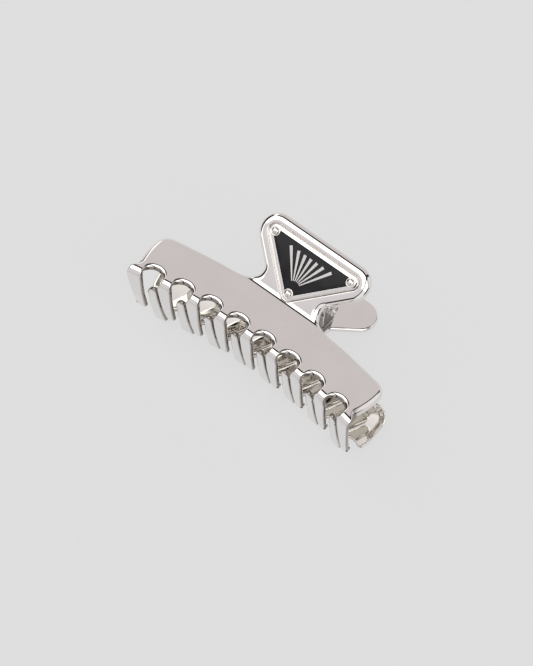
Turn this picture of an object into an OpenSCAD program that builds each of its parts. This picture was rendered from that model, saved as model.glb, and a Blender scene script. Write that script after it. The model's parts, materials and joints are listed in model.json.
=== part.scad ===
// A sprung claw hair clip: two toothed metal jaws on one hinge, lying on its rear jaw.
// X runs along the hinge, +Y points to the handles and +Z points up.

/* [Jaws] */
// Distance from one tooth to the next
tooth_pitch = 10; // [9.5:0.5:11]
// Number of teeth on the front jaw; the rear jaw has one fewer
tooth_count = 9; // [9:1:9]
// Width of a tooth below its root
tooth_w = 4.6; // [4:0.1:4.8]
// Width of a tooth at its rounded tip
tip_w = 3.1; // [2.6:0.1:3.4]
// Length of a tooth below the bend
tooth_curl = 22.1; // [18:0.1:23]
// Angle through which a tooth curls inwards
curl_angle = 9; // [4:1:14]
// Thickness of the jaw plates
plate_t = 1.7; // [1.4:0.1:2]
// Outer radius of the bend between panel and teeth
bend_r = 2.5; // [2.3:0.1:2.8]
// Flat panel from the crease to the bend, at the middle of the clip
panel_depth = 16.1; // [14:0.1:18]
// Radius of the arc that the row of teeth follows
arc_r = 182; // [150:1:240]
// Tilt of each panel away from the middle plane
wedge = 20; // [15:0.5:24]
// Radius of the round cuts between the teeth
scallop_r = 3.4; // [3:0.1:3.6]

/* [Handles] */
// Height of each crease above the hinge
crease_up = 9.1; // [8.5:0.1:11]
// Distance of the creases in front of the hinge
crease_back = 9.5; // [8:0.1:11]
// Slope of the front handle
front_angle = 21.5; // [18:0.5:26]
// Half width of the neck
neck = 11.4; // [10.8:0.1:12]
// Reach of the front handle's upper rivets above the crease
front_reach = 16.2; // [15.5:0.1:18]
// Half distance between the upper rivets
front_half = 14.5; // [14:0.1:16]
// Height of the lower rivet above the crease
front_foot = 2.6; // [2.4:0.1:3]
// Corner radius of the front handle
front_corner = 5.9; // [5.7:0.1:6.2]
// Reach of the rear handle's corner centres
rear_reach = 17.6; // [16:0.1:19]
// Half distance between the rear handle's corner centres
rear_half = 14.2; // [13:0.1:15.5]
// Foot of the rear handle's sloping sides
rear_foot = 6; // [5:0.1:7]
// Corner radius of the rear handle
rear_corner = 6.4; // [6:0.1:6.6]

/* [Hinge] */
// Radius of the hinge pin
pin_r = 0.9; // [0.8:0.05:1.1]
// Radial running clearance in the front ears
running_fit = 0.05; // [0.02:0.01:0.1]
// Thickness of the bracket ears
ear_t = 1.35; // [1:0.05:1.4]
// Outer half width of the front bracket
front_ear_x = 8.2; // [7:0.1:8.5]
// Gap between neighbouring ears
ear_gap = 0.25; // [0.2:0.05:0.4]
// Half length of the hinge over its knuckles
hinge_half = 12; // [11.5:0.1:13]
// Radius of the knuckles
knuckle_r = 1.7; // [1.5:0.05:1.8]
// Wire radius of the spring
wire_r = 0.55; // [0.4:0.05:0.6]
// Mean radius of the spring's coil
coil_r = 3; // [2.6:0.1:3.4]
// Turns in the coil
coil_turns = 6; // [4:1:7]

/* [Badge] */
// Depth of the badge's pocket in the front handle
pocket_depth = 0.6; // [0.3:0.1:0.8]
// Thickness of the badge plate
badge_t = 0.8; // [0.6:0.1:1]
// Depth of the enamel
enamel_t = 0.4; // [0.2:0.05:0.5]
// Number of rays in the fan
ray_count = 7; // [5:2:9]

/* [Hidden] */

$fn = 48;
silver = [0.78, 0.76, 0.75];
steel = [0.62, 0.62, 0.63];

// Panel outline
panel_half = 43.3;
rear_extra = 0.7;
end_arc_r = 33;
end_bulge_y = -8.5;
rear_edge_y = -0.6;
rear_edge_r = 262;
corner_r = 5;
lobe_y = -18.8;
lobe_r = 2;
notch_x = 38.4;
scallop_out = 1.1;
band_z = -1.5;

// Tooth section, in the panel's own plane
tooth_lean = 5;
bend_turn = 90 + wedge - tooth_lean;
curl_r = tooth_curl / (curl_angle * PI / 180);
sweep_half = 14.5;

// Handles and neck
fillet_r = 4;
fillet_end = 250;
upper_fillet_r = 2.4;
crease_half = neck + 2.4;
crease_lap = 1.6;

// Rivets, badge and pocket, as offsets from the triangle of rivet centres
rivet_r = 0.68;
rivet_hole_r = 0.7;
dome_r = 1.3;
dome_sink = 0.15;
collar_r = 1.6;
collar_h = 0.3;
tail_r = 1.15;
tail_h = 0.5;
badge_offset = 2.1;
enamel_offset = 0.9;
pocket_offset = 2.3;
enamel_round = 1.8;
ray_foot = 1.9;
ray_start = 2.4;
ray_top = 1.9;
ray_spread = 12;
ray_narrow = 0.3;
ray_wide = 1;

// Hinge brackets
base_t = 1.2;
base_low = 4.2;
base_high = 11;
ear_r = 2.3;
rear_ear_x = front_ear_x + ear_gap + ear_t;
pin_half = hinge_half - 0.5;
pin_chamfer = 0.2;
press_fit = 0.01;
coil_pitch = 1.25;
wire_sides = 8;
rings_per_turn = 16;
leg_reach = 13;
leg_foot = 4;
leg_gap = 0.1;

// Where the clip rests: the bend behind the rear jaw's end teeth and the tip of the rear handle
last_rear_x = (tooth_count - 2) / 2 * tooth_pitch + tooth_w / 2;
rest_z = crease_up + (panel_depth + sag(arc_r, last_rear_x)) * sin(wedge) + bend_r * (1 - cos(wedge));
rear_angle = asin((rest_z - crease_up) / (rear_reach + rear_corner));

// Middle of the clip's length along Y, measured from the hinge
last_front_x = (tooth_count - 1) / 2 * tooth_pitch + tooth_w / 2;
back_y = (rear_reach + rear_corner) * cos(rear_angle) + plate_t * sin(rear_angle) - crease_back;
tooth_out = bend_r * (cos(tooth_lean) + sin(wedge)) + curl_r * (1 - cos(tooth_lean));
front_y = -crease_back - (panel_depth + sag(arc_r, last_front_x)) * cos(wedge) - tooth_out;
mid_y = (back_y + front_y) / 2;

// Height of an arc of radius r above its chord at distance x from the middle
function sag(r, x) = r - sqrt(r * r - x * x);

// Points on an arc from angle a0 to a1
function arc(centre, r, a0, a1, steps = 8) =
    [for (i = [0:steps]) centre + r * [cos(a0 + (a1 - a0) * i / steps), sin(a0 + (a1 - a0) * i / steps)]];

// A right-hand half outline closed with its mirror image
function both_sides(half) =
    concat(half, [for (i = [len(half) - 1:-1:0]) [-half[i].x, half[i].y]]);

// Places of the teeth on the front and rear jaws
function tooth_places(count) = [for (i = [0:count - 1]) (i - (count - 1) / 2) * tooth_pitch];

// Bend line of a panel at x
function bend_line(x) = -panel_depth - sag(arc_r, x);

// Foot and depth of the hinge axis, seen square to a handle of slope a
function hinge_foot(a) = crease_back * cos(a) - crease_up * sin(a);
function hinge_depth(a) = crease_back * sin(a) + crease_up * cos(a);

// Stations along the outside of the plate, each [radial place, height, heading]
bend_centre = [-panel_depth, -bend_r];
bend_end = bend_centre + bend_r * [cos(90 + bend_turn), sin(90 + bend_turn)];
tooth_heading = 180 + bend_turn;
function curl_point(d) =
    bend_end + curl_r * [sin(d) - sin(tooth_heading), cos(tooth_heading) - cos(d)];
function bend_stations(steps) = [
    for (i = [0:steps])
        let (a = bend_turn * i / steps, p = bend_centre + bend_r * [cos(90 + a), sin(90 + a)]) [p.x, p.y, 180 + a]
];
function curl_stations(steps) = [
    for (i = [1:steps])
        let (d = tooth_heading + curl_angle * i / steps, p = curl_point(d)) [p.x, p.y, d]
];
stations = concat([[2, 0, 180]], bend_stations(6), curl_stations(5));
tooth_depth = -stations[len(stations) - 1].y - 0.4;

// Cross-section of the plate: its outside, then its inside offset by the thickness
function outside(s) = [for (p = s) [p.x, p.y]];
function inside(s) = [for (i = [len(s) - 1:-1:0]) [s[i].x, s[i].y] + plate_t * [-sin(s[i].z), cos(s[i].z)]];

module placed() {
    translate([0, -mid_y, rest_z]) children();
}

module in_panel() {
    translate([0, -crease_back, crease_up]) rotate([-wedge, 0, 0]) children();
}

module in_handle(angle) {
    translate([0, -crease_back, crease_up]) rotate([angle, 0, 0]) children();
}

module on_rear_side() {
    mirror([0, 0, 1]) children();
}

// The bent plate, swept along the arc of the teeth
module swept_plate() {
    translate([0, -panel_depth - arc_r, 0])
        rotate([0, 0, 90 - sweep_half])
            rotate_extrude(angle = 2 * sweep_half, $fn = 360)
                translate([arc_r + panel_depth, 0])
                    polygon(concat(outside(stations), inside(stations)));
}

// Right-hand half of the panel's outline, from the middle of its rear edge down to the teeth
function panel_half_outline(half, low) = concat(
    arc([0, rear_edge_y - rear_edge_r], rear_edge_r, 90, 90 - asin((half - corner_r - 0.2) / rear_edge_r)),
    arc([half - corner_r, end_bulge_y + 0.1], corner_r, 80, 0, 8),
    arc([half - end_arc_r, end_bulge_y], end_arc_r, -2, low, 6)
);

module front_panel_outline() {
    edge = last_front_x + 0.3;
    polygon(both_sides(concat(panel_half_outline(panel_half, -19), [[edge, -22], [edge, -40]])));
}

module rear_panel_outline() {
    half = panel_half + rear_extra;
    lobe_x = half - end_arc_r * (1 - cos(15)) - lobe_r;
    edge = last_rear_x + 0.4;
    lobe = arc([lobe_x, lobe_y + lobe_r], lobe_r, -5, -90, 4);
    polygon(both_sides(concat(panel_half_outline(half, -14), lobe, [[edge, lobe_y], [edge, -40]])));
}

// Outline of one tooth, seen from the front
module tooth_outline() {
    r = tip_w / 2;
    polygon(both_sides(concat(
        [[tooth_w / 2, band_z + 1], [tooth_w / 2, -8]],
        arc([0, r - tooth_depth], r, -10, -90, 4)
    )));
}

// The panel with its row of teeth, in the panel's own plane
module toothed_panel(places, gaps) {
    difference() {
        intersection() {
            swept_plate();
            translate([0, 0, -40]) linear_extrude(50) children();
            union() {
                translate([-60, -60, band_z]) cube([120, 80, 10]);
                for (x = places)
                    translate([x, 20, 0]) rotate([90, 0, 0]) linear_extrude(80) tooth_outline();
            }
        }
        for (x = gaps)
            translate([x, bend_line(x) - scallop_out, -2 * bend_r])
                cylinder(r = scallop_r, h = 3 * bend_r);
    }
}

// Rounded triangle at a distance r outside three corner centres
module rounded_triangle(half, top, foot, r) {
    slope = atan2(top - foot, half);
    polygon(both_sides(concat(
        arc([0, foot], r, -90, slope - 90, 6),
        arc([half, top], r, slope - 90, 90, 10)
    )));
}

// Right-hand half of a handle: neck with a fillet at each end, sloping side and rounded corner
function handle_half(half, reach, foot, r) =
    let (
        slope = atan2(reach - foot, half),
        side = [r * sin(slope), foot - r * cos(slope)],
        upper_x = neck + upper_fillet_r,
        upper_y = side.y + (upper_x - side.x) * tan(slope) - upper_fillet_r / cos(slope),
        rise = sin(fillet_end - 180),
        lower_r = min(fillet_r, upper_y / rise - 0.1)
    )
    concat(
        arc([neck + lower_r, lower_r * rise], lower_r, fillet_end, 180, 6),
        arc([upper_x, upper_y], upper_fillet_r, 180, 90 + slope, 4),
        arc([half, reach], r, slope - 90, 90, 10)
    );

module handle_plate(half, reach, foot, r) {
    translate([0, 0, -plate_t]) linear_extrude(plate_t) polygon(both_sides(handle_half(half, reach, foot, r)));
}

// Fills the outside of the crease between the panel and a handle of slope a
module crease_strip(a) {
    panel_way = [-cos(wedge), sin(wedge)];
    handle_way = [cos(a), sin(a)];
    turn = (a - wedge) / 2;
    mitre = plate_t / cos((a + wedge) / 2) * [sin(turn), -cos(turn)];
    translate([0, -crease_back, crease_up]) rotate([90, 0, 90])
        linear_extrude(2 * crease_half, center = true)
            polygon([
                [0, 0],
                crease_lap * panel_way,
                crease_lap * panel_way + plate_t * [-sin(wedge), -cos(wedge)],
                mitre,
                0.2 * handle_way + plate_t * [sin(a), -cos(a)],
                0.2 * handle_way
            ]);
}

// Places of the three rivets on the front handle
rivet_left = [-front_half, front_reach];
rivet_right = [front_half, front_reach];
rivet_lower = [0, front_foot];
rivets = [rivet_left, rivet_right, rivet_lower];

module badge_triangle(r) {
    rounded_triangle(front_half, front_reach, front_foot, r);
}

module rivet_holes() {
    for (p = rivets)
        translate([p.x, p.y, -plate_t - 1]) cylinder(r = rivet_hole_r, h = plate_t + 3);
}

// Lifts the badge's pieces off the floor of the pocket
module in_pocket() {
    placed() in_handle(front_angle) translate([0, 0, -pocket_depth]) children();
}

module front_jaw() {
    places = tooth_places(tooth_count);
    color(silver) placed() {
        in_panel() toothed_panel(places, tooth_places(tooth_count - 1)) front_panel_outline();
        crease_strip(front_angle);
        in_handle(front_angle) difference() {
            handle_plate(front_half, front_reach, front_foot, front_corner);
            translate([0, 0, -pocket_depth]) linear_extrude(2 * pocket_depth) badge_triangle(pocket_offset);
            rivet_holes();
        }
    }
}

module rear_jaw() {
    gaps = concat([-notch_x], tooth_places(tooth_count - 2), [notch_x]);
    color(silver) placed() on_rear_side() {
        in_panel() toothed_panel(tooth_places(tooth_count - 1), gaps) rear_panel_outline();
        crease_strip(rear_angle);
        in_handle(rear_angle) handle_plate(rear_half, rear_reach, rear_foot, rear_corner);
    }
}

// One pair of bracket ears on a base plate, inside a handle of slope a
module bracket(a, outer_x, bore_r) {
    foot = hinge_foot(a);
    depth = hinge_depth(a);
    difference() {
        union() {
            translate([-outer_x, base_low, -plate_t - base_t])
                cube([2 * outer_x, base_high - base_low, base_t]);
            for (side = [-1, 1])
                translate([side * (outer_x - ear_t / 2), 0, 0]) rotate([90, 0, 90])
                    linear_extrude(ear_t, center = true) {
                        polygon([
                            [base_low, -plate_t - base_t / 2],
                            [base_high, -plate_t - base_t / 2],
                            [foot + ear_r, -depth],
                            [foot - ear_r, -depth]
                        ]);
                        translate([foot, -depth]) circle(ear_r);
                    }
            children();
        }
        translate([-20, foot, -depth]) rotate([0, 90, 0]) cylinder(r = bore_r, h = 40);
    }
}

module front_hinge_bracket() {
    color(steel) placed() in_handle(front_angle)
        bracket(front_angle, front_ear_x, pin_r + running_fit);
}

module rear_hinge_bracket() {
    color(steel) placed() on_rear_side() in_handle(rear_angle)
        bracket(rear_angle, rear_ear_x, pin_r + press_fit)
            for (side = [0, 1])
                mirror([side, 0, 0])
                    translate([rear_ear_x - ear_t / 2, hinge_foot(rear_angle), -hinge_depth(rear_angle)])
                        rotate([0, 90, 0]) cylinder(r = knuckle_r, h = hinge_half - rear_ear_x + ear_t / 2);
}

module hinge_pin() {
    color(steel) placed() rotate([0, 90, 0]) {
        cylinder(r = pin_r, h = 2 * (pin_half - pin_chamfer), center = true);
        for (side = [0, 1])
            mirror([0, 0, side]) translate([0, 0, pin_half - pin_chamfer])
                cylinder(r1 = pin_r, r2 = pin_r - pin_chamfer, h = pin_chamfer);
    }
}

// Contact point of a spring leg inside a handle of slope a, as [y, z]
function leg_contact(a) =
    [-crease_back, crease_up] + leg_reach * [cos(a), sin(a)]
    + (plate_t + wire_r + leg_gap) * [sin(a), -cos(a)];

// Angle at which the coil hands over to a leg that ends at q
function leg_tangent(q) = atan2(q.y, q.x) - acos(coil_r / norm(q));

// Stations of one leg from its free end to the coil: [x, y, z, angle of its upper side]
function leg(x, a) =
    let (q = leg_contact(a), t = leg_tangent(q), tip = q + leg_foot * [cos(a), sin(a)])
    [[x, tip.x, tip.y, a - 90], [x, q.x, q.y, (a - 90 + t) / 2], [x, coil_r * cos(t), coil_r * sin(t), t]];

// The whole wire: front leg, coil and rear leg
top_tangent = leg_tangent(leg_contact(front_angle));
low_tangent = -leg_tangent(leg_contact(rear_angle));
coil_sweep = 360 * coil_turns + top_tangent - low_tangent;
coil_rings = coil_turns * rings_per_turn;
coil_half = coil_pitch * coil_turns / 2;
function coil() = [
    for (i = [1:coil_rings - 1])
        let (t = top_tangent - coil_sweep * i / coil_rings)
        [-coil_half + 2 * coil_half * i / coil_rings, coil_r * cos(t), coil_r * sin(t), t]
];
function rear_leg() =
    let (s = leg(coil_half, rear_angle))
    [for (i = [2:-1:0]) [s[i][0], s[i][1], -s[i][2], -s[i][3]]];
wire = concat(leg(-coil_half, front_angle), coil(), rear_leg());

// One ring of points around a station
function ring(s) = [
    for (k = [0:wire_sides - 1])
        let (b = 360 * k / wire_sides)
        [s[0] + wire_r * sin(b), s[1] + wire_r * cos(b) * cos(s[3]), s[2] + wire_r * cos(b) * sin(s[3])]
];

module torsion_spring() {
    rings = len(wire);
    sides = wire_sides;
    points = [for (s = wire) each ring(s)];
    walls = [
        for (i = [0:rings - 2], k = [0:sides - 1])
            [i * sides + k, i * sides + (k + 1) % sides, (i + 1) * sides + (k + 1) % sides, (i + 1) * sides + k]
    ];
    first = [for (k = [sides - 1:-1:0]) k];
    last = [for (k = [0:sides - 1]) (rings - 1) * sides + k];
    color(steel) placed() polyhedron(points, concat([first, last], walls));
}

// Raised fan of tapering rays that shows through the enamel
module fan() {
    centre = rivet_lower + [0, ray_foot];
    top = front_reach + enamel_offset - ray_top;
    for (i = [0:ray_count - 1]) {
        tilt = (i - (ray_count - 1) / 2) * ray_spread;
        length = (top - centre.y) / cos(tilt);
        translate(centre) rotate(-tilt)
            polygon(both_sides([[ray_narrow / 2, ray_start], [ray_wide / 2, length]]));
    }
}

// The flat shape that the enamel fills
module enamel_shape() {
    difference() {
        badge_triangle(enamel_offset);
        for (p = rivets) translate(p) circle(enamel_round);
        fan();
    }
}

module badge_plate() {
    color(silver) in_pocket() difference() {
        linear_extrude(badge_t) badge_triangle(badge_offset);
        translate([0, 0, badge_t - enamel_t]) linear_extrude(badge_t) enamel_shape();
        rivet_holes();
    }
}

module badge_enamel() {
    color("black") in_pocket()
        translate([0, 0, badge_t - enamel_t]) linear_extrude(enamel_t) enamel_shape();
}

// Domed rivet with a collar in front and a clinched tail behind
module rivet(p) {
    tail_z = pocket_depth - plate_t - tail_h;
    color(silver) in_pocket() translate([p.x, p.y, 0]) {
        translate([0, 0, badge_t]) cylinder(r = collar_r, h = collar_h);
        translate([0, 0, tail_z]) cylinder(r = rivet_r, h = badge_t + collar_h / 2 - tail_z);
        translate([0, 0, tail_z]) cylinder(r = tail_r, h = tail_h);
        intersection() {
            translate([0, 0, badge_t + collar_h - dome_sink]) sphere(r = dome_r);
            translate([0, 0, badge_t + collar_h / 2]) cylinder(r = collar_r, h = 2 * dome_r);
        }
    }
}

front_jaw();
rear_jaw();
front_hinge_bracket();
rear_hinge_bracket();
hinge_pin();
torsion_spring();
badge_plate();
badge_enamel();
rivet(rivet_left);  // badge_rivet_left
rivet(rivet_right);  // badge_rivet_right
rivet(rivet_lower);  // badge_rivet_lower
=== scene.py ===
import json
import math

import bpy
import numpy as np
from mathutils import Matrix, Vector
from mathutils.geometry import delaunay_2d_cdt


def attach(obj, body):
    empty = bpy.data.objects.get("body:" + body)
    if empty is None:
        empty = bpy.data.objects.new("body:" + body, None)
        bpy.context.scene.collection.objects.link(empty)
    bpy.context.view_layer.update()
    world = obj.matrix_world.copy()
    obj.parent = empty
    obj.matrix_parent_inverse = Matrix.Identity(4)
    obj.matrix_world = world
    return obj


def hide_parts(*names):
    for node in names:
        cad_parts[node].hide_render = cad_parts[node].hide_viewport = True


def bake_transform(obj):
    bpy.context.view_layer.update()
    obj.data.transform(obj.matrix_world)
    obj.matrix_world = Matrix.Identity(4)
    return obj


# A sprung claw hair clip. Shapes are worked out in millimetres from the hinge: X runs along the hinge,
# Y to the handles and Z up. The rear half is the same construction turned upside down.

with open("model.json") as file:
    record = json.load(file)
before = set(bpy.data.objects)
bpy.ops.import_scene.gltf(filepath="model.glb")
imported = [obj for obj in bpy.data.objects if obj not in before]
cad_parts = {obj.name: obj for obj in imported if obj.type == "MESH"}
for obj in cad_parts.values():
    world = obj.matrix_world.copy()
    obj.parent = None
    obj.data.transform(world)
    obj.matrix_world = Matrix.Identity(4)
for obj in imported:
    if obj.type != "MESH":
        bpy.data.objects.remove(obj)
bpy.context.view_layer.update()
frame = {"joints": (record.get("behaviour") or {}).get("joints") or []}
HINGE = Vector(frame["joints"][0]["pos_m"])
MM = 0.001

# Jaws
PLATE = 1.7
EDGE_R = 0.72
CREASE_Y = -9.5
CREASE_Z = 9.1
WEDGE = math.radians(20)
PANEL_DEPTH = 16.1
ARC_R = 182.0
BEND_R = 2.5
TOOTH_LEAN = math.radians(5)
BEND_TURN = math.pi / 2 + WEDGE - TOOTH_LEAN
TOOTH_CURL = 22.1
CURL_R = TOOTH_CURL / math.radians(9)
CREASE_R = 2.6
PITCH = 10.0
INSIDE_FROM = -2.5
TAPER_FROM = 6.0
END_TOOTH_EXTRA = 0.2
# Widths of the teeth below the root and at the tip
FRONT_TEETH = (4.6, 3.1)
REAR_TEETH = (4.4, 2.9)
SCALLOP_R = 3.4
SCALLOP_OUT = 1.1
COMB_TOP = 3.0
PANEL_HALF = 43.3
REAR_EXTRA = 0.7
REAR_SHORTER = 0.7
END_R = 33.0
END_BULGE_Y = -8.5
REAR_EDGE_Y = -0.6
REAR_EDGE_R = 262.0
CORNER_R = 5.0
CORNER_END = 80
FRONT_END_LOW = -19.3
REAR_END_LOW = -16.6

# The rear jaw's end: a round notch beside its last tooth, then a small lobe
NOTCH_X = 38.4
NOTCH_FROM = 1.5
LOBE = (41.0, -17.2)
LOBE_R = 1.45

# Handles: slope, half distance, reach and foot of the corner centres, corner radius
NECK = 11.4
NECK_UPPER_R = 2.4
NECK_LOWER_R = 4.0
NECK_LOWER_Y = 3.75
NECK_LOWER_END = 250
NECK_SWEEP_R = 22.0
NECK_SWEEP_END = 265.5
FRONT = {"slope": math.radians(21.5), "half": 14.5, "reach": 16.2, "foot": 2.6, "r": 5.9}
REAR = {"slope": math.radians(16.9), "half": 14.2, "reach": 17.6, "foot": 6.0, "r": 6.4}

# Rolled rims: full round the front handle and the ends of the panels, and slight round the scallops
RIM_W = 2.4
RIM_DEPTH = 2.1
RIM_LIP_R = 0.25
RIM_HANDLE = (-0.4, 3.0)
RIM_ENDS = (20.0, 41.0)
RIM_FADE = 2.5
FRONT_RIM_LOW = -20.5
REAR_RIM_LOW = -16.5
SCALLOP_ROLL = 0.4
SCALLOP_ROLL_FROM = (-0.5, 1.5)

# Badge, in offsets from the triangle of rivet centres
POCKET_DEPTH = 0.6
POCKET_LIP = 2.85
POCKET_FOOT = 2.2
BADGE_EDGE = 2.1
ENAMEL_EDGE = 0.95
BADGE_TOP = 0.2
BADGE_RIM = -0.12
ENAMEL_DROP = 0.1
BADGE_SLOPE = math.degrees(math.atan2(FRONT["reach"] - FRONT["foot"], FRONT["half"]))
BADGE_CORNERS = [(0, FRONT["foot"]), (FRONT["half"], FRONT["reach"]), (-FRONT["half"], FRONT["reach"])]
BADGE_SPANS = [(270 - BADGE_SLOPE, 270 + BADGE_SLOPE), (BADGE_SLOPE - 90, 90), (90, 270 - BADGE_SLOPE)]
RAY_COUNT = 7
RAY_SPREAD = math.radians(12)
RAY_START = 2.4
RAY_FOOT = 1.9
RAY_TOP = 1.0
RAY_HALF_WIDTHS = (0.14, 0.5)
RAY_THICK = 0.3
RAY_DROP = 0.06

# Rivets, as (radius, height) above the badge: collar and dome in front, clinched tail behind
RIVET_COLLAR = [(0.2, -0.5), (1.6, -0.5), (1.6, 0.06), (1.58, 0.13), (1.52, 0.19), (1.44, 0.22), (1.36, 0.2)]
DOME_R = 1.27
DOME_RISE = 1.02
DOME_FOOT = 0.12
TAIL_FOOT = -PLATE - BADGE_TOP
RIVET_TAIL = [(0.15, -0.49), (0.6, -0.46), (0.95, -0.38), (1.1, -0.25), (1.14, -0.1), (1.1, 0.02),
              (0.62, 0.3)]

# Hinge: brackets as (foot, head) of their base on a handle, knuckles and pin as (radius, distance out)
BASE_SPAN = (4.2, 11.0)
BASE_T = 1.2
BASE_CORNER_R = 0.9
EAR_T = 1.35
EAR_R = 2.3
EAR_SINK = 0.5
FRONT_EAR_X = 8.2
REAR_EAR_X = 9.8
KNUCKLE = [(0.92, 0.0), (1.62, 0.0), (1.7, 0.08), (1.7, 2.1), (1.66, 2.17), (1.58, 2.2), (1.05, 2.2),
           (0.97, 2.17), (0.93, 2.1), (0.92, 1.2)]
PIN = [(0.7, -11.5), (0.84, -11.44), (0.9, -11.3), (0.9, 11.3), (0.84, 11.44), (0.7, 11.5)]

# Spring
WIRE_R = 0.55
WIRE_SIDES = 14
COIL_R = 3.0
COIL_TURNS = 6
COIL_PITCH = 1.25
COIL_STEPS = 240
LEG_REACH = 13.0
LEG_FOOT = 4.0
LEG_GAP = 0.1
LEG_BEND = 1.1


def arc(cx, cy, r, a0, a1, step=0.3):
    """Points on an arc from angle a0 to a1, in degrees, about step mm apart."""
    count = max(2, math.ceil(abs(math.radians(a1 - a0)) * r / step))
    angles = np.radians(np.linspace(a0, a1, count + 1))
    return [(cx + r * math.cos(a), cy + r * math.sin(a)) for a in angles]


def line(p, q, step=0.5):
    """Points from p to q, about step mm apart."""
    count = max(1, math.ceil(math.dist(p, q) / step))
    return [(p[0] + (q[0] - p[0]) * i / count, p[1] + (q[1] - p[1]) * i / count) for i in range(count + 1)]


def smooth(lo, hi, x):
    """Rises smoothly from 0 at lo to 1 at hi."""
    t = np.clip((x - lo) / (hi - lo), 0, 1)
    return t * t * (3 - 2 * t)


def cleaned(points, gap=0.08):
    """The closed outline without points that nearly repeat."""
    kept = []
    for p in points:
        if not kept or math.dist(p, kept[-1]) > gap:
            kept.append(p)
    while math.dist(kept[0], kept[-1]) < gap:
        kept.pop()
    return np.array(kept)


def both_sides(right):
    """A closed outline from its right-hand half, which runs from the bottom middle to the top middle."""
    return cleaned(right + [(-x, y) for x, y in reversed(right)])


# The plate's section beyond the bend line

def bend_line(x):
    return -PANEL_DEPTH - (ARC_R - np.sqrt(ARC_R**2 - x**2))


def section(s):
    """Offset, height and heading of the plate's outside, s mm of plate beyond the bend line."""
    bend_length = BEND_R * BEND_TURN
    a = np.clip(s, 0, bend_length) / BEND_R
    curl = np.maximum(s - bend_length, 0) / CURL_R
    first = math.pi + BEND_TURN
    heading = math.pi + a + curl
    off = -BEND_R * np.sin(a) + CURL_R * (np.sin(first + curl) - math.sin(first))
    up = BEND_R * (np.cos(a) - 1) + CURL_R * (math.cos(first) - np.cos(first + curl))
    return off, up, heading


TOOTH_END = BEND_R * BEND_TURN + TOOTH_CURL - 0.4


def bent(x, v, h, slope):
    """Places flat points of a jaw: v > 0 is handle and v < 0 panel, then teeth. Returns mm from the hinge."""
    y_line = bend_line(x)
    beyond = np.maximum(y_line - v, 0)
    off, up, heading = section(beyond)
    off = off + h * np.sin(heading)
    up = up - h * np.cos(heading)
    centre = -PANEL_DEPTH - ARC_R
    flat_v = np.where(v < y_line, centre + np.sqrt((ARC_R + off) ** 2 - x**2), v)
    flat_h = np.where(v < y_line, up, h)

    reach = CREASE_R * math.tan((slope + WEDGE) / 2)
    turn = np.clip((v + reach) / (2 * reach), 0, 1)
    angle = -WEDGE + (slope + WEDGE) * turn
    lift = CREASE_R / math.cos((slope + WEDGE) / 2)
    tilt = (slope - WEDGE) / 2
    fold_y = -lift * math.sin(tilt) + (CREASE_R - h) * np.sin(angle)
    fold_z = lift * math.cos(tilt) - (CREASE_R - h) * np.cos(angle)

    panel_y = flat_v * math.cos(WEDGE) + flat_h * math.sin(WEDGE)
    panel_z = -flat_v * math.sin(WEDGE) + flat_h * math.cos(WEDGE)
    handle_y = v * math.cos(slope) - h * math.sin(slope)
    handle_z = v * math.sin(slope) + h * math.cos(slope)
    y = np.where(v < -reach, panel_y, np.where(v > reach, handle_y, fold_y))
    z = np.where(v < -reach, panel_z, np.where(v > reach, handle_z, fold_z))
    return np.stack([x, CREASE_Y + y, CREASE_Z + z], axis=1)


def triangle_distance(x, v):
    """Distance outside the triangle of the front handle's rivet centres; negative inside."""
    corners = [np.array(c) for c in BADGE_CORNERS]
    p = np.stack([x, v], axis=1)
    outside = np.full(len(x), 1e9)
    inside = np.full(len(x), -1e9)
    for a, b in zip(corners, corners[1:] + corners[:1]):
        edge = b - a
        t = np.clip(((p - a) @ edge) / (edge @ edge), 0, 1)
        outside = np.minimum(outside, np.linalg.norm(p - a - t[:, None] * edge, axis=1))
        normal = np.array([edge[1], -edge[0]]) / np.linalg.norm(edge)
        inside = np.maximum(inside, (p - a) @ normal)
    return np.where(inside > 0, outside, inside)


def front_shape(x, v, h):
    """The front jaw, with the badge's pocket pressed into the handle."""
    pocket = POCKET_DEPTH * (1 - smooth(POCKET_FOOT, POCKET_LIP, triangle_distance(x, v)))
    return bent(x, v, np.where(h > -PLATE / 2, h - pocket, h), FRONT["slope"])


def rear_shape(x, v, h):
    """The rear jaw, whose panel is a little shorter."""
    points = bent(x, v, h, REAR["slope"])
    shift = REAR_SHORTER * smooth(2, 12, -v)
    return points + np.stack([0 * x, shift * math.cos(WEDGE), -shift * math.sin(WEDGE)], axis=1)


def on_handle(slope):
    """The shape that lays flat points on a handle."""
    def shape(x, v, h):
        y = CREASE_Y + v * math.cos(slope) - h * math.sin(slope)
        z = CREASE_Z + v * math.sin(slope) + h * math.cos(slope)
        return np.stack([x, y, z], axis=1)
    return shape


on_front_handle = on_handle(FRONT["slope"])


# Meshes

def new_object(name, points, faces, upside_down=False, normals=None):
    """A smooth mesh from points in mm from the hinge."""
    points = np.asarray(points, float)
    if upside_down:
        points = points * [1, 1, -1]
        faces = [tuple(reversed(f)) for f in faces]
    mesh = bpy.data.meshes.new(name)
    mesh.from_pydata((points * MM + np.array(HINGE)).tolist(), [], faces)
    mesh.polygons.foreach_set("use_smooth", [True] * len(mesh.polygons))
    if normals is not None:
        if upside_down:
            normals = normals * [1, 1, -1]
        mesh.normals_split_custom_set_from_vertices(normals.tolist())
    mesh.validate()
    mesh.update()
    obj = bpy.data.objects.new(name, mesh)
    bpy.context.scene.collection.objects.link(obj)
    return obj


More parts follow.
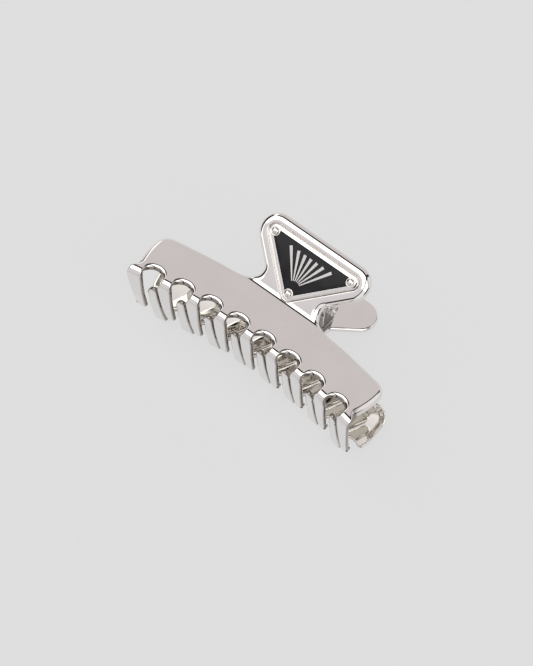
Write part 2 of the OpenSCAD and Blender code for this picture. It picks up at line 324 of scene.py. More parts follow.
def outward(loop):
    """Unit vectors that point away from a counter-clockwise outline, stretched at its corners."""
    before = loop - np.roll(loop, 1, axis=0)
    after = np.roll(loop, -1, axis=0) - loop
    n0 = np.stack([before[:, 1], -before[:, 0]], axis=1) / np.linalg.norm(before, axis=1)[:, None]
    n1 = np.stack([after[:, 1], -after[:, 0]], axis=1) / np.linalg.norm(after, axis=1)[:, None]
    n = n0 + n1
    n /= np.linalg.norm(n, axis=1)[:, None]
    return n, n / np.clip((n * n0).sum(axis=1), 0.5, 1)[:, None]


def inside_points(loop, candidates, margin):
    """The candidates that lie in the loop, at least margin mm from its points."""
    p = np.asarray(candidates)
    a, b = loop, np.roll(loop, -1, axis=0)
    inside = np.zeros(len(p), bool)
    for (ax, ay), (bx, by) in zip(a, b):
        if ay != by:
            crosses = (ay > p[:, 1]) != (by > p[:, 1])
            inside ^= crosses & (p[:, 0] < (bx - ax) * (p[:, 1] - ay) / (by - ay) + ax)
    p = p[inside]
    far = np.ones(len(p), bool)
    for start in range(0, len(loop), 200):
        part = loop[start:start + 200]
        gaps = np.linalg.norm(p[:, None, :] - part[None, :, :], axis=2).min(axis=1)
        far &= gaps > margin
    return p[far]


def filled(loop, extra):
    """Triangles that fill a loop through extra points, as (points, faces) with the loop's points first."""
    points = [tuple(p) for p in loop] + [tuple(p) for p in extra]
    done = delaunay_2d_cdt([Vector(p) for p in points], [], [list(range(len(loop)))], 1, 1e-4)
    place = {}
    for new, sources in enumerate(done[3]):
        for old in sources:
            place[new] = old
    count = len(points)
    for new, p in enumerate(done[0]):
        if new not in place:
            place[new] = count
            points.append((p.x, p.y))
            count += 1
    faces = [tuple(place[i] for i in f) for f in done[2]]
    return np.array(points), faces


def edge_profile(steps, edge_r, thick):
    """A plain rounded edge, top to bottom: inset, level under the top and the normal's two parts."""
    rows = []
    for a in np.radians(np.linspace(90, 0, steps + 1)):
        rows.append((edge_r * (1 - math.cos(a)), -edge_r * (1 - math.sin(a)), math.cos(a), math.sin(a)))
    for a in np.radians(np.linspace(0, 90, steps + 1)):
        level = edge_r * (1 - math.sin(a)) - thick
        rows.append((edge_r * (1 - math.cos(a)), level, math.cos(a), -math.sin(a)))
    return np.array(rows)


def rim_profile(steps):
    """The front handle's edge, rolled over and turned down a little past the plate's inside."""
    rows = []
    for a in np.radians(np.linspace(90, 0, steps + 1)):
        flat, steep = RIM_DEPTH * math.cos(a), RIM_W * math.sin(a)
        size = math.hypot(flat, steep)
        rows.append((RIM_W * (1 - math.cos(a)), -RIM_DEPTH * (1 - math.sin(a)), flat / size, steep / size))
    half = steps // 2
    for a in np.radians(np.linspace(0, 90, half + 1)):
        level = -RIM_DEPTH - RIM_LIP_R * math.sin(a)
        rows.append((RIM_LIP_R * (1 - math.cos(a)), level, math.cos(a), -math.sin(a)))
    low = -RIM_DEPTH - RIM_LIP_R
    for t in np.linspace(0, 1, steps - half + 1)[1:]:
        inset = RIM_LIP_R + (RIM_W - RIM_LIP_R) * t
        slope = (-PLATE - low) * 6 * t * (1 - t) / (RIM_W - RIM_LIP_R)
        size = math.hypot(slope, 1)
        rows.append((inset, low + (-PLATE - low) * t * t * (3 - 2 * t), -slope / size, -1 / size))
    return np.array(rows)


def rounded_plate(name, loop, shape, extra, thick=PLATE, edge_r=EDGE_R, steps=6, upside_down=False, top=0.0,
                  rim=None):
    """A plate whose edge is rounded over, or rolled over where rim is 1 instead of 0. shape() places flat
    points (x, v, h), and also bends the normals."""
    unit, stretched = outward(loop)
    profile = edge_profile(steps, edge_r, thick)[:, :, None] * np.ones(len(loop))
    if rim is not None:
        profile = profile * (1 - rim) + rim_profile(steps)[:, :, None] * rim
    flat, levels, normals = [], [], []
    for inset, level, sideways, upwards in profile:
        flat.append(loop - stretched * inset[:, None])
        levels.append(top + level)
        size = np.hypot(sideways, upwards)
        normals.append(np.column_stack([unit * (sideways / size)[:, None], upwards / size]))
    edge = flat[0]
    points, triangles = filled(edge, inside_points(edge, extra, 0.12) if len(extra) else [])
    inner = points[len(edge):]
    n, rings = len(loop), len(flat)
    faces = []
    for k in range(rings - 1):
        for i in range(n):
            j = (i + 1) % n
            faces.append((k * n + j, k * n + i, (k + 1) * n + i, (k + 1) * n + j))
    for side, first, level in ((1, 0, top), (-1, (rings - 1) * n, top - thick)):
        base = sum(len(f) for f in flat)
        flat.append(inner)
        levels.append(np.full(len(inner), level))
        normals.append(np.column_stack([np.zeros((len(inner), 2)), np.full(len(inner), float(side))]))
        for f in triangles:
            face = tuple(first + i if i < n else base + i - n for i in f)
            faces.append(face if side > 0 else tuple(reversed(face)))
    flat, levels, normals = np.concatenate(flat), np.concatenate(levels), np.concatenate(normals)
    bent_points, bent_normals = shaped(shape, flat, levels, normals)
    obj = new_object(name, bent_points, faces, upside_down, bent_normals)
    # Painted shade mask: the cut edges of the combs, which the material darkens to brown-grey.
    in_comb = smooth(-COMB_TOP - 0.4, -COMB_TOP + 0.4, bend_line(flat[:, 0]) - flat[:, 1])
    mark(obj, "cut_edge_shade", in_comb * smooth(0.35, 0.95, np.hypot(normals[:, 0], normals[:, 1])))
    # Painted shade mask: the jaws' inside faces, which the material makes a little darker and warmer.
    mark(obj, "inside", (normals[:, 2] < -0.5) * smooth(INSIDE_FROM + 1, INSIDE_FROM - 1, flat[:, 1]))
    return obj


def mark(obj, name, values):
    """Stores one value per point for the material to read."""
    attribute = obj.data.attributes.new(name, "FLOAT", "POINT")
    attribute.data.foreach_set("value", np.asarray(values, float).tolist())


def shaped(shape, flat, levels, normals):
    """Places flat points and turns their normals by the inverse transpose of the shape's gradient."""
    x, v, d = flat[:, 0], flat[:, 1], 0.004
    columns = [
        (shape(x + d, v, levels) - shape(x - d, v, levels)) / (2 * d),
        (shape(x, v + d, levels) - shape(x, v - d, levels)) / (2 * d),
        (shape(x, v, levels + d) - shape(x, v, levels - d)) / (2 * d),
    ]
    gradient = np.stack(columns, axis=2)
    turned = np.einsum("nij,nj->ni", np.linalg.inv(gradient).transpose(0, 2, 1), normals)
    return shape(x, v, levels), turned / np.linalg.norm(turned, axis=1)[:, None]


def turned_piece(name, profile, centre, axis, segments=48):
    """A lathe-turned piece: profile is (radius, height) up the axis from centre, in mm from the hinge."""
    axis = Vector(axis).normalized()
    across = axis.orthogonal().normalized()
    other = axis.cross(across)
    points, faces = [], []
    for r, h in profile:
        for i in range(segments):
            a = 2 * math.pi * i / segments
            points.append(Vector(centre) + axis * h + r * (across * math.cos(a) + other * math.sin(a)))
    for k in range(len(profile) - 1):
        for i in range(segments):
            j = (i + 1) % segments
            faces.append((k * segments + i, k * segments + j, (k + 1) * segments + j, (k + 1) * segments + i))
    faces.append(tuple(reversed(range(segments))))
    faces.append(tuple((len(profile) - 1) * segments + i for i in range(segments)))
    return new_object(name, points, faces)


# Outlines of the jaws

def tooth_half_width(s, widths):
    root, tip = widths
    end = TOOTH_END - tip / 2
    return root / 2 + (tip - root) / 2 * np.clip((s - TAPER_FROM) / (end - TAPER_FROM), 0, 1)


def tooth_tip(x, widths, a0=180, a1=360):
    """The rounded tip of the tooth at x, from angle a0 round to a1."""
    r = widths[1] / 2
    return arc(x, bend_line(x) - TOOTH_END + r, r, a0, a1, 0.25)


def gap_half_width(centre, side, s, widths):
    """Half width of the gap at centre on one side, s mm beyond the bend line: the scallop, then the tooth."""
    off = section(np.array([s]))[0][0]
    straight = PITCH / 2 - tooth_half_width(s, widths)
    width = SCALLOP_R
    for _ in range(3):
        drop = bend_line(centre + side * width) + off - bend_line(centre) + SCALLOP_OUT
        width = math.sqrt(max(SCALLOP_R**2 - drop**2, 4.0))
    blend = smooth(2.5, 5.5, s)
    return (1 - blend) * width + blend * straight


def tooth_side(tooth, side, widths):
    """One side of a tooth, from its tip up to the bend line."""
    centre = tooth + side * PITCH / 2
    depths = np.concatenate([np.arange(TOOTH_END - widths[1] / 2, 5.0, -0.5), np.arange(5.0, 0.1, -0.2)])
    xs = [centre - side * gap_half_width(centre, -side, s, widths) for s in depths]
    return [(x, float(bend_line(x)) - s) for x, s in zip(xs, depths)]


def scallop(centre, a0=160, a1=20):
    """The top of the round cut at centre, from left to right, above the bend line."""
    top = arc(centre, float(bend_line(centre)) - SCALLOP_OUT, SCALLOP_R, a0, a1, 0.25)
    return [p for p in top if p[1] > bend_line(p[0]) + 0.02]


def comb(places, widths):
    """Teeth at these places, joined by scallops; it starts and ends at the outer side of a tooth."""
    points = []
    for i, x in enumerate(places):
        if i:
            points += list(reversed(tooth_side(x, -1, widths)))
        points += tooth_tip(x, widths) + tooth_side(x, 1, widths)
        if i + 1 < len(places):
            points += scallop(x + PITCH / 2)
    return points


def panel_end(half, low):
    """The panel's bulging end from height low up to its corner, and its rear edge to the neck."""
    centre = half - END_R
    start = math.degrees(math.asin((low - END_BULGE_Y) / END_R))
    corner_x = half - CORNER_R
    end_x = corner_x + CORNER_R * math.cos(math.radians(CORNER_END))
    end_y = REAR_EDGE_Y - REAR_EDGE_R + math.sqrt(REAR_EDGE_R**2 - end_x**2)
    corner = arc(corner_x, end_y - CORNER_R * math.sin(math.radians(CORNER_END)), CORNER_R, 0, CORNER_END)
    span = math.degrees(math.asin((half - CORNER_R - 0.2) / REAR_EDGE_R))
    neck_span = math.degrees(math.asin(20.0 / REAR_EDGE_R))
    edge = arc(0, REAR_EDGE_Y - REAR_EDGE_R, REAR_EDGE_R, 90 - span, 90 - neck_span, 1.0)
    return arc(centre, END_BULGE_Y, END_R, start, -2, 0.5) + corner + edge


def handle_side(h):
    """The neck and handle, from the panel's rear edge to the middle of the handle's end."""
    slope = math.degrees(math.atan2(h["reach"] - h["foot"], h["half"]))
    side_x = h["r"] * math.sin(math.radians(slope))
    side_y = h["foot"] - h["r"] * math.cos(math.radians(slope))
    upper_x = NECK + NECK_UPPER_R
    rise = (upper_x - side_x) * math.sin(math.radians(slope)) - NECK_UPPER_R
    upper_y = side_y + rise / math.cos(math.radians(slope))
    lower_x = NECK + NECK_LOWER_R
    shift = NECK_SWEEP_R - NECK_LOWER_R
    turn = math.radians(NECK_LOWER_END - 180)
    points = arc(lower_x + shift * math.cos(turn), NECK_LOWER_Y + shift * math.sin(turn), NECK_SWEEP_R,
                 NECK_SWEEP_END, NECK_LOWER_END)
    points += arc(lower_x, NECK_LOWER_Y, NECK_LOWER_R, NECK_LOWER_END, 180)
    points += arc(upper_x, upper_y, NECK_UPPER_R, 180, 90 + slope)
    points += arc(h["half"], h["reach"], h["r"], slope - 90, 90)
    return points + line((h["half"], h["reach"] + h["r"]), (0, h["reach"] + h["r"]), 1.0)


def end_tooth_side(x):
    """The outer side of the last tooth, a little wider than the others and straight up to the panel."""
    depths = np.arange(TOOTH_END - FRONT_TEETH[1] / 2, 0.2, -0.4)
    xs = [x + float(tooth_half_width(s, FRONT_TEETH)) + END_TOOTH_EXTRA * float(1 - smooth(4, TOOTH_END, s))
          for s in depths]
    return [(x, float(bend_line(x)) - s) for x, s in zip(xs, depths)]


def front_outline():
    places = [PITCH * i for i in range(5)]
    inner_side = tooth_side(places[-1], 1, FRONT_TEETH)
    right = tooth_tip(0, FRONT_TEETH, 270) + tooth_side(0, 1, FRONT_TEETH) + scallop(PITCH / 2)
    right += list(reversed(tooth_side(PITCH, -1, FRONT_TEETH)))
    right += comb(places[1:], FRONT_TEETH)[:-len(inner_side)] + end_tooth_side(places[-1])
    return both_sides(right + panel_end(PANEL_HALF, FRONT_END_LOW) + handle_side(FRONT))


def rear_outline():
    places = [PITCH * (i + 0.5) for i in range(4)]
    side = tooth_side(places[-1], 1, REAR_TEETH)
    notch_y = float(bend_line(NOTCH_X)) - SCALLOP_OUT
    meet = math.degrees(math.atan2(LOBE[1] - notch_y, LOBE[0] - NOTCH_X))
    right = scallop(0, 90, 20) + list(reversed(tooth_side(places[0], -1, REAR_TEETH)))
    right += comb(places, REAR_TEETH)[:-len(side)]
    right += [p for p in side if p[0] < NOTCH_X - NOTCH_FROM]
    right += [p for p in arc(NOTCH_X, notch_y, SCALLOP_R, 160, meet) if p[1] > bend_line(p[0]) + 0.02]
    right += arc(*LOBE, LOBE_R, 180 + meet, 345)
    return both_sides(right + panel_end(PANEL_HALF + REAR_EXTRA, REAR_END_LOW) + handle_side(REAR))


def jaw_grid(places):
    """Points between the edges, close together across the bend, the crease and the curl of the teeth."""
    points = []
    for x in np.arange(-PANEL_HALF - REAR_EXTRA, PANEL_HALF + REAR_EXTRA + 0.1, 0.55):
        line_y = float(bend_line(x))
        points += [(x, line_y - s) for s in np.arange(-0.2, 5.4, 0.2)]
    for place in places:
        for x in place + np.arange(-1.5, 1.51, 0.5):
            points += [(x, float(bend_line(x)) - s) for s in np.arange(5.8, TOOTH_END, 0.6)]
    for v in np.arange(-1.05, 1.06, 0.15):
        points += [(x, v) for x in np.arange(-15, 15.1, 0.6)]
    return points


def pocket_grid():
    """Points on lines round the badge's pocket."""
    points = []
    for offset in np.linspace(POCKET_FOOT, POCKET_LIP, 9):
        points += triangle_loop(offset, 0.5).tolist()
    return points


def triangle_loop(offset, step):
    """The triangle of rivet centres, offset outwards by rounding its corners."""
    lower, upper = BADGE_CORNERS[:2]
    corners = arc(*lower, offset, 270, 270 + BADGE_SLOPE, step * 0.6)
    corners += arc(*upper, offset, BADGE_SLOPE - 90, 90, step * 0.6)
    dense = []
    for p, q in zip(corners, corners[1:] + [(0, upper[1] + offset)]):
        dense += line(p, q, step)
    return both_sides(dense)


# Materials

def node_material(name):
    mat = bpy.data.materials.new(name)
    mat.use_nodes = True
    tree = mat.node_tree
    shader = next(n for n in tree.nodes if n.type == "BSDF_PRINCIPLED")
    return mat, tree, shader


def add(tree, kind, **values):
    node = tree.nodes.new(kind)
    for key, value in values.items():
        if key in node.inputs:
            node.inputs[key].default_value = value
        else:
            setattr(node, key, value)
    return node


def mapped(tree, coordinates, scale):
    mapping = add(tree, "ShaderNodeMapping")
    mapping.inputs["Scale"].default_value = scale
    tree.links.new(coordinates.outputs["Object"], mapping.inputs["Vector"])
    return mapping


def ramp(tree, source, stops):
    node = add(tree, "ShaderNodeValToRGB")
    elements = node.color_ramp.elements
    for i, (position, value) in enumerate(stops):
        element = elements[i] if i < 2 else elements.new(position)
        element.position = position
        element.color = (*value, 1) if isinstance(value, tuple) else (value, value, value, 1)
    tree.links.new(source, node.inputs["Fac"])
    return node


# Painted shade: ambient occlusion within SHELTER_REACH darkens the metal's colour between parts, and the
# tints below darken the cut edges of the combs and the jaws' inside faces.
SHELTER_REACH = 0.009
PAINTED_SHADE_STOPS = [(0.15, (0.66, 0.63, 0.61)), (0.6, (1.0, 1.0, 1.0))]
PAINTED_SHADE_TINTS = {"inside": (1.0, 0.985, 0.95, 1), "cut_edge_shade": (0.34, 0.31, 0.29, 1)}


def polished_metal(name, tone, rough, scratch=0.012, grain=(3200, 260, 260)):
    """Polished or drawn metal: cloudy tone, hairline scratches and a little unevenness in its gloss. Painted
    shade darkens its colour where other metal is near, along the cut edges of the combs and faintly on its
    inside faces."""
    mat, tree, shader = node_material(name)
    coordinates = add(tree, "ShaderNodeTexCoord")
    cloud = add(tree, "ShaderNodeTexNoise", Scale=120.0, Detail=3.0)
    tree.links.new(coordinates.outputs["Object"], cloud.inputs["Vector"])
    low = tuple(c * 0.965 for c in tone)
    colour = ramp(tree, cloud.outputs["Fac"], [(0.35, low), (0.7, tone)])
    # Painted shade: occlusion by nearby metal darkens the base colour.
    shelter = add(tree, "ShaderNodeAmbientOcclusion", samples=16)
    shelter.inputs["Distance"].default_value = SHELTER_REACH
    ao_shade = ramp(tree, shelter.outputs["AO"], PAINTED_SHADE_STOPS)
    ao_darkened = add(tree, "ShaderNodeMix", data_type="RGBA", blend_type="MULTIPLY")
    ao_darkened.inputs["Factor"].default_value = 1.0
    tree.links.new(colour.outputs["Color"], ao_darkened.inputs["A"])
    tree.links.new(ao_shade.outputs["Color"], ao_darkened.inputs["B"])
    shaded = ao_darkened
    # Painted shade on the cut edges and inside faces that rounded_plate marks.
    for marked, tint in PAINTED_SHADE_TINTS.items():
        where = add(tree, "ShaderNodeAttribute", attribute_name=marked)
        darker = add(tree, "ShaderNodeMix", data_type="RGBA", blend_type="MULTIPLY")
        tree.links.new(where.outputs["Fac"], darker.inputs["Factor"])
        tree.links.new(shaded.outputs["Result"], darker.inputs["A"])
        darker.inputs["B"].default_value = tint
        shaded = darker
    tree.links.new(shaded.outputs["Result"], shader.inputs["Base Color"])
    hair = add(tree, "ShaderNodeTexNoise", Scale=1.0, Detail=4.0)
    tree.links.new(mapped(tree, coordinates, grain).outputs["Vector"], hair.inputs["Vector"])
    gloss = ramp(tree, hair.outputs["Fac"], [(0.3, rough * 0.7), (0.72, rough * 1.5)])
    tree.links.new(gloss.outputs["Color"], shader.inputs["Roughness"])
    bump = add(tree, "ShaderNodeBump", Strength=scratch, Distance=0.00005)
    tree.links.new(hair.outputs["Fac"], bump.inputs["Height"])
    tree.links.new(bump.outputs["Normal"], shader.inputs["Normal"])
    shader.inputs["Metallic"].default_value = 1.0
    return mat


def black_enamel():
    """Glossy black enamel with a faint orange peel and a slightly lighter cloud in the glass."""
    mat, tree, shader = node_material("black_enamel")
    coordinates = add(tree, "ShaderNodeTexCoord")
    cloud = add(tree, "ShaderNodeTexNoise", Scale=260.0, Detail=2.0)
    tree.links.new(coordinates.outputs["Object"], cloud.inputs["Vector"])
    colour = ramp(tree, cloud.outputs["Fac"], [(0.3, (0.016, 0.016, 0.018)), (0.75, (0.024, 0.024, 0.027))])
    tree.links.new(colour.outputs["Color"], shader.inputs["Base Color"])
    gloss = ramp(tree, cloud.outputs["Fac"], [(0.3, 0.1), (0.75, 0.17)])
    tree.links.new(gloss.outputs["Color"], shader.inputs["Roughness"])
    bump = add(tree, "ShaderNodeBump", Strength=0.03, Distance=0.00005)
    tree.links.new(cloud.outputs["Fac"], bump.inputs["Height"])
    tree.links.new(bump.outputs["Normal"], shader.inputs["Normal"])
    shader.inputs["Specular IOR Level"].default_value = 0.1
    return mat


def finish_piece(obj, material, body, slot, *nodes):
    obj.data.materials.append(material)
    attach(obj, body)
    if nodes:
        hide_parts(*nodes)


MIRROR = polished_metal("mirror_plating", (0.86, 0.845, 0.835), 0.035)
SATIN = polished_metal("tumbled_plating", (0.80, 0.775, 0.76), 0.16, 0.05)
WIRE = polished_metal("drawn_wire", (0.74, 0.72, 0.71), 0.2, 0.08, (400, 2600, 2600))
ENAMEL = black_enamel()


# Pieces

def jaw_rim(outline, low):
    """How far a jaw's edge is rolled over, from 0 to 1 along its outline: fully at the ends of its panel down
    to v = low, and a little round the scallops."""
    x, v = np.abs(outline[:, 0]), outline[:, 1]
    above = v - bend_line(x)
    past_comb = np.maximum(smooth(4, 8, above), smooth(39.5, 41, x))
    ends = smooth(*RIM_ENDS, x) * smooth(low, low + RIM_FADE, v) * past_comb
    scallops = SCALLOP_ROLL * smooth(*SCALLOP_ROLL_FROM, above) * (above < 4) * (x < 39)
    return np.maximum(ends, scallops)


def make_jaws():
    places = [PITCH * (i - 4) for i in range(9)]
    outline = front_outline()
    rim = np.maximum(smooth(*RIM_HANDLE, outline[:, 1]), jaw_rim(outline, FRONT_RIM_LOW))
    front = rounded_plate("front_jaw_shell", outline, front_shape, jaw_grid(places) + pocket_grid(),
                          steps=8, rim=rim)
    finish_piece(front, MIRROR, "front_half", "polished_metal", "front_jaw")
    places = [PITCH * (i - 3.5) for i in range(8)]
    outline = rear_outline()
    rear = rounded_plate("rear_jaw_shell", outline, rear_shape, jaw_grid(places), steps=8,
                         upside_down=True, rim=jaw_rim(outline, REAR_RIM_LOW))
    finish_piece(rear, MIRROR, "rear_half", "polished_metal", "rear_jaw")


def ridge(name, loops):
    """A closed solid on the front handle, through loops with matching points, each (flat loop, height)."""
    n = len(loops[0][0])
    points = np.concatenate([on_front_handle(l[:, 0], l[:, 1], np.full(n, float(h))) for l, h in loops])
    faces = []
    for k in range(len(loops) - 1):
        for i in range(n):
            j = (i + 1) % n
            faces.append((k * n + i, k * n + j, (k + 1) * n + j, (k + 1) * n + i))
    first = [tuple(reversed(f)) for f in filled(loops[0][0], [])[1]]
    last = [tuple((len(loops) - 1) * n + i for i in f) for f in filled(loops[-1][0], [])[1]]
    return new_object(name, points, faces + first + last)


def offset_loops(offsets):
    """Loops round the badge triangle with matching points, one for each (offset, height)."""
    loops = []
    for offset, height in offsets:
        loop = []
        for (cx, cy), (a0, a1) in zip(BADGE_CORNERS, BADGE_SPANS):
            loop += [(cx + offset * math.cos(a), cy + offset * math.sin(a))
                     for a in np.radians(np.linspace(a0, a1, 25))]
        loops.append((np.array(loop), height))
    return loops


def make_badge():
    edge, inner, top, floor = BADGE_EDGE, ENAMEL_EDGE, BADGE_TOP, -POCKET_DEPTH
    plate = ridge("badge_plate_shell", offset_loops([
        (edge - 0.05, floor), (edge, floor + 0.06), (edge, BADGE_RIM - 0.1), (edge - 0.03, BADGE_RIM - 0.03),
        (edge - 0.1, BADGE_RIM + 0.02), (edge - 0.16, BADGE_RIM + 0.045), (inner + 0.22, top - 0.04),
        (inner + 0.12, top - 0.01), (inner + 0.06, top), (inner + 0.03, top - 0.01), (inner, top - 0.05),
        (inner - 0.01, top - 0.3),
    ]))
    finish_piece(plate, MIRROR, "front_half", "polished_metal", "badge_plate")
    level = top - ENAMEL_DROP
    glass = ridge("badge_enamel_shell", offset_loops([
        (inner - 0.02, top - 0.32), (inner - 0.015, level - 0.05), (inner - 0.06, level - 0.015),
        (inner - 0.16, level),
    ]))
    finish_piece(glass, ENAMEL, "front_half", "black_enamel", "badge_enamel")


def make_rays():
    """A fan of tapering metal rays that stand up through the enamel."""
    foot_y, top_y = FRONT["foot"] + RAY_FOOT, FRONT["reach"] - RAY_TOP
    narrow, wide = RAY_HALF_WIDTHS
    for i in range(RAY_COUNT):
        tilt = (i - (RAY_COUNT - 1) / 2) * RAY_SPREAD
        length = (top_y - foot_y) / math.cos(tilt)
        corners = [(-narrow, RAY_START), (narrow, RAY_START), (wide, length), (-wide, length)]
        turn = np.array([[math.cos(tilt), math.sin(tilt)], [-math.sin(tilt), math.cos(tilt)]])
        loop = np.array(corners) @ turn.T + [0, foot_y]
        dense = []
        for p, q in zip(loop, np.roll(loop, -1, axis=0)):
            dense += line(tuple(p), tuple(q), 0.4)
        ray = rounded_plate(f"badge_ray_{i + 1}", cleaned(dense), on_front_handle, [], thick=RAY_THICK,
                            edge_r=0.05, steps=2, top=BADGE_TOP - RAY_DROP)
        finish_piece(ray, MIRROR, "front_half", "polished_metal")


def make_rivets():
    slope = FRONT["slope"]
    axis = (0, -math.sin(slope), math.cos(slope))
    dome = [(DOME_R * math.cos(a), DOME_FOOT + DOME_RISE * math.sin(a))
            for a in np.radians(np.linspace(0, 86, 15))]
    tail = [(r, TAIL_FOOT + h) for r, h in RIVET_TAIL]
    for name, (x, v) in zip(("left", "right", "lower"), reversed(BADGE_CORNERS)):
        centre = on_front_handle(np.array([x]), np.array([v]), np.array([BADGE_TOP]))[0]
        head = turned_piece(f"badge_rivet_{name}_head", RIVET_COLLAR + dome, centre, axis)
        finish_piece(head, SATIN, "front_half", "polished_metal", f"badge_rivet_{name}")
        back = turned_piece(f"badge_rivet_{name}_tail", tail, centre, axis, 32)
        finish_piece(back, MIRROR, "front_half", "polished_metal")


def make_bracket(name, slope, outer_x, body, upside_down):
    """A U-shaped sheet bracket: a base under the handle and two ears down to the hinge."""
    shape = on_handle(slope)
    low, high = BASE_SPAN
    r = BASE_CORNER_R
    right = arc(outer_x - r, low + r, r, 270, 360, 0.2) + arc(outer_x - r, high - r, r, 0, 90, 0.2)
    base = rounded_plate(f"{name}_base", both_sides([(0, low)] + right + [(0, high)]), shape, [],
                         thick=BASE_T, edge_r=0.3, steps=4, upside_down=upside_down, top=-PLATE)
    finish_piece(base, SATIN, body, "bracket_steel", name)

    foot = -CREASE_Y * math.cos(slope) - CREASE_Z * math.sin(slope)
    deep = -CREASE_Y * math.sin(slope) + CREASE_Z * math.cos(slope)
    top = -PLATE - EAR_SINK
    ear = [(low, top)] + arc(foot, -deep, EAR_R, 180, 360, 0.25) + [(high, top)]
    loop = cleaned(line(ear[-1], ear[0], 0.5) + ear)
    for label, at in (("left", -outer_x), ("right", outer_x - EAR_T)):
        def ear_shape(v, h, x, at=at):
            return shape(at + EAR_T + x, v, h)
        piece = rounded_plate(f"{name}_ear_{label}", loop, ear_shape, [], thick=EAR_T, edge_r=0.25, steps=4,
                              upside_down=upside_down)
        finish_piece(piece, SATIN, body, "bracket_steel")


def make_hinge():
    make_bracket("front_hinge_bracket", FRONT["slope"], FRONT_EAR_X, "front_half", False)
    make_bracket("rear_hinge_bracket", REAR["slope"], REAR_EAR_X, "rear_half", True)
    for label, side in (("left", -1), ("right", 1)):
        knuckle = turned_piece(f"hinge_knuckle_{label}", KNUCKLE, (side * REAR_EAR_X, 0, 0), (side, 0, 0))
        finish_piece(knuckle, SATIN, "rear_half", "bracket_steel")
    pin = turned_piece("hinge_pin_shell", PIN, (0, 0, 0), (1, 0, 0))
    finish_piece(pin, SATIN, "rear_half", "bracket_steel", "hinge_pin")


def spring_leg(slope):
    """Where a leg meets its handle, where it ends and the angle at which it leaves the coil."""
    along = np.array([math.cos(slope), math.sin(slope)])
    inward = np.array([math.sin(slope), -math.cos(slope)])
    meets = np.array([CREASE_Y, CREASE_Z]) + LEG_REACH * along + (PLATE + WIRE_R + LEG_GAP) * inward
    angle = math.atan2(meets[1], meets[0]) - math.acos(COIL_R / np.linalg.norm(meets))
    return meets, meets + LEG_FOOT * along, angle


def make_spring():
    """The coil and its two legs, as one round wire."""
    half = COIL_PITCH * COIL_TURNS / 2
    top_point, top_end, top = spring_leg(FRONT["slope"])
    low_point, low_end, low = spring_leg(REAR["slope"])
    sweep = 2 * math.pi * COIL_TURNS + top + low
    coil = []
    for i in range(COIL_STEPS + 1):
        a = top - sweep * i / COIL_STEPS
        coil.append((-half + 2 * half * i / COIL_STEPS, COIL_R * math.cos(a), COIL_R * math.sin(a)))
    path = [(-half, *top_end), (-half, *(top_end * 0.6 + top_point * 0.4))]
    path += [(-half, *p) for p in rounded_corner(top_end, top_point, np.array(coil[0][1:]), LEG_BEND)]
    path += coil
    flip = np.array([1, -1])
    bend = rounded_corner(low_end * flip, low_point * flip, np.array(coil[-1][1:]), LEG_BEND)
    path += [(half, *p) for p in reversed(bend)]
    path += [(half, *((low_end * 0.6 + low_point * 0.4) * flip)), (half, *(low_end * flip))]
    spring = tube("torsion_spring_wire", np.array(path), WIRE_R, WIRE_SIDES)
    spring.data.materials.append(WIRE)
    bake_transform(spring)
    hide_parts("torsion_spring")


def rounded_corner(a, b, c, r):
    """Points that round the corner at b, between a and c."""
    u, w = (a - b) / np.linalg.norm(a - b), (c - b) / np.linalg.norm(c - b)
    start, end = b + u * r, b + w * r
    return [(1 - t) ** 2 * start + 2 * t * (1 - t) * b + t * t * end for t in np.linspace(0, 1, 9)]


def tube(name, path, radius, sides):
    """A round wire along a path, with domed ends."""
    tangents = np.gradient(path, axis=0)
    tangents /= np.linalg.norm(tangents, axis=1)[:, None]
    up = np.array([1.0, 0, 0])
    rings = []
    for centre, t in zip(path, tangents):
        up = up - t * (up @ t)
        up /= np.linalg.norm(up)
        rings.append((centre, up, np.cross(t, up), t))
    dome = [(math.cos(a), math.sin(a)) for a in np.radians([80, 55, 30])]
    first, last = rings[0], rings[-1]
    stations = [(first[0] - first[3] * radius * s * 0.5, *first[1:3], c) for c, s in dome]
    stations += [(c, u, s, 1.0) for c, u, s, _ in rings]
    stations += [(last[0] + last[3] * radius * s * 0.5, *last[1:3], c) for c, s in reversed(dome)]
    points = []
    for centre, u, s, scale in stations:
        for k in range(sides):
            a = 2 * math.pi * k / sides
            points.append(centre + radius * scale * (u * math.cos(a) + s * math.sin(a)))
    faces = []
    for i in range(len(stations) - 1):
        for k in range(sides):
            j = (k + 1) % sides
            faces.append((i * sides + k, i * sides + j, (i + 1) * sides + j, (i + 1) * sides + k))
    faces.append(tuple(reversed(range(sides))))
    faces.append(tuple((len(stations) - 1) * sides + k for k in range(sides)))
    return new_object(name, points, faces)


# Stage

def make_floor():
    mesh = bpy.data.meshes.new("floor")
    mesh.from_pydata([(-3, -3, 0), (3, -3, 0), (3, 3, 0), (-3, 3, 0)], [], [(0, 1, 2, 3)])
    floor = bpy.data.objects.new("floor", mesh)
    bpy.context.scene.collection.objects.link(floor)
    mat, tree, shader = node_material("pale_paper")
    coordinates = add(tree, "ShaderNodeTexCoord")
    fibres = add(tree, "ShaderNodeTexNoise", Scale=900.0, Detail=3.0)
    tree.links.new(coordinates.outputs["Object"], fibres.inputs["Vector"])
    colour = ramp(tree, fibres.outputs["Fac"], [(0.3, (0.655, 0.655, 0.655)), (0.7, (0.665, 0.665, 0.665))])
    tree.links.new(colour.outputs["Color"], shader.inputs["Emission Color"])
    shader.inputs["Emission Strength"].default_value = 1.0
    shader.inputs["Base Color"].default_value = (0.07, 0.07, 0.072, 1)
    shader.inputs["Roughness"].default_value = 0.9
    shader.inputs["Specular IOR Level"].default_value = 0.0
    mesh.materials.append(mat)


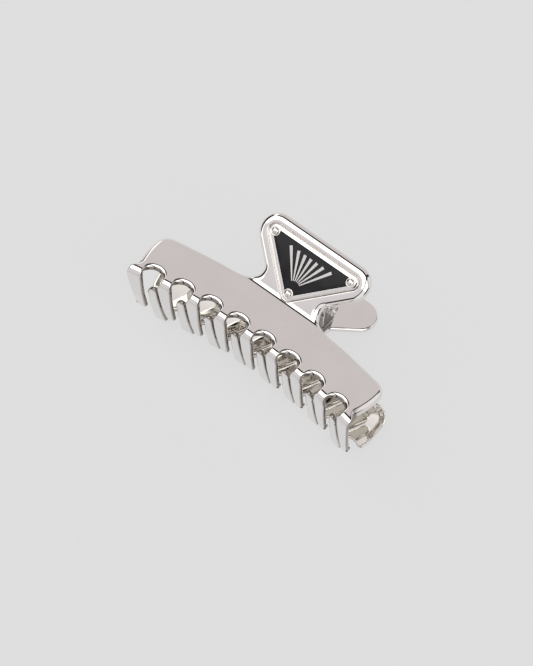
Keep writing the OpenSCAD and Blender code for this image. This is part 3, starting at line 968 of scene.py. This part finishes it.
FRONT_WALL = (0.645, 0.6, 0.604)
CEILING = (0.75, 0.72, 0.725)
SOFTBOX = (2.4, 2.4, 2.32)
GAP = (0.02, 0.016, 0.014)
WALL = (0.677, 0.629, 0.622)
SIDE_BOX = (1.3, 1.28, 1.25, 1)
SIDE_GAP = (0.02, 0.017, 0.015, 1)


def make_world():
    """A studio sky of long strips that run along X: front wall, ceiling, softbox, dark gap and rear wall.
    Lit strips and dark gaps lie across them at both sides."""
    world = bpy.data.worlds.new("studio")
    bpy.context.scene.world = world
    world.use_nodes = True
    tree = world.node_tree
    background = next(n for n in tree.nodes if n.type == "BACKGROUND")
    coordinates = add(tree, "ShaderNodeTexCoord")
    axes = add(tree, "ShaderNodeSeparateXYZ")
    tree.links.new(coordinates.outputs["Generated"], axes.inputs["Vector"])
    angle = add(tree, "ShaderNodeMath", operation="ARCTAN2")
    tree.links.new(axes.outputs["Y"], angle.inputs[0])
    tree.links.new(axes.outputs["Z"], angle.inputs[1])
    share = add(tree, "ShaderNodeMapRange")
    share.inputs["From Min"].default_value = -math.pi
    share.inputs["From Max"].default_value = math.pi
    tree.links.new(angle.outputs["Value"], share.inputs["Value"])

    def at(degrees):
        return (degrees + 180) / 360

    stops = [
        (at(-180), FRONT_WALL), (at(-84), FRONT_WALL), (at(-66), CEILING), (at(-24), CEILING),
        (at(-20), SOFTBOX), (at(18), SOFTBOX), (at(25), GAP), (at(43), GAP), (at(48), WALL),
        (at(180), WALL),
    ]
    strips = ramp(tree, share.outputs["Result"], stops)
    sideways = add(tree, "ShaderNodeMapRange")
    sideways.inputs["From Min"].default_value = -1
    tree.links.new(axes.outputs["X"], sideways.inputs["Value"])

    def across(x):
        return (x + 1) / 2

    side_box = ramp(tree, sideways.outputs["Result"], [
        (across(-0.85), 0.0), (across(-0.82), 1.0), (across(-0.71), 1.0), (across(-0.68), 0.0),
        (across(0.42), 0.0), (across(0.47), 0.35),
    ])
    side_dark = ramp(tree, sideways.outputs["Result"], [
        (across(-0.86), 1.0), (across(-0.83), 0.0), (across(0.24), 0.0), (across(0.28), 1.0),
        (across(0.4), 1.0), (across(0.44), 0.0), (across(0.92), 0.0), (across(0.94), 1.0),
    ])
    lit = add(tree, "ShaderNodeMix", data_type="RGBA")
    tree.links.new(side_box.outputs["Color"], lit.inputs["Factor"])
    tree.links.new(strips.outputs["Color"], lit.inputs["A"])
    lit.inputs["B"].default_value = SIDE_BOX
    dimmed = add(tree, "ShaderNodeMix", data_type="RGBA")
    tree.links.new(side_dark.outputs["Color"], dimmed.inputs["Factor"])
    tree.links.new(lit.outputs["Result"], dimmed.inputs["A"])
    dimmed.inputs["B"].default_value = SIDE_GAP
    tree.links.new(dimmed.outputs["Result"], background.inputs["Color"])


def make_camera():
    """Looks down on the clip from its front right, slightly rolled and aimed off the middle."""
    turn = Matrix.Rotation(math.radians(47.6), 3, "Z")
    tilt = Matrix.Rotation(math.radians(23.85), 3, "X")
    roll = Matrix.Rotation(math.radians(-9.8), 3, "Z")
    axes = turn @ tilt @ roll
    right, up, back = axes.col
    aim = Vector((0, CREASE_Y, 0))
    distance, aside, below = 737.7, 5.80, 6.12
    place = HINGE + MM * (aim + distance * back - aside * right - below * up)
    data = bpy.data.cameras.new("camera")
    data.lens = 162.2
    data.sensor_width = 36
    data.sensor_fit = "HORIZONTAL"
    camera = bpy.data.objects.new("camera", data)
    camera.matrix_world = Matrix.Translation(place) @ axes.to_4x4()
    bpy.context.scene.collection.objects.link(camera)
    bpy.context.scene.camera = camera


make_jaws()
make_badge()
make_rays()
make_rivets()
make_hinge()
make_spring()
make_floor()
make_world()
make_camera()
bpy.context.scene.view_settings.view_transform = "Standard"
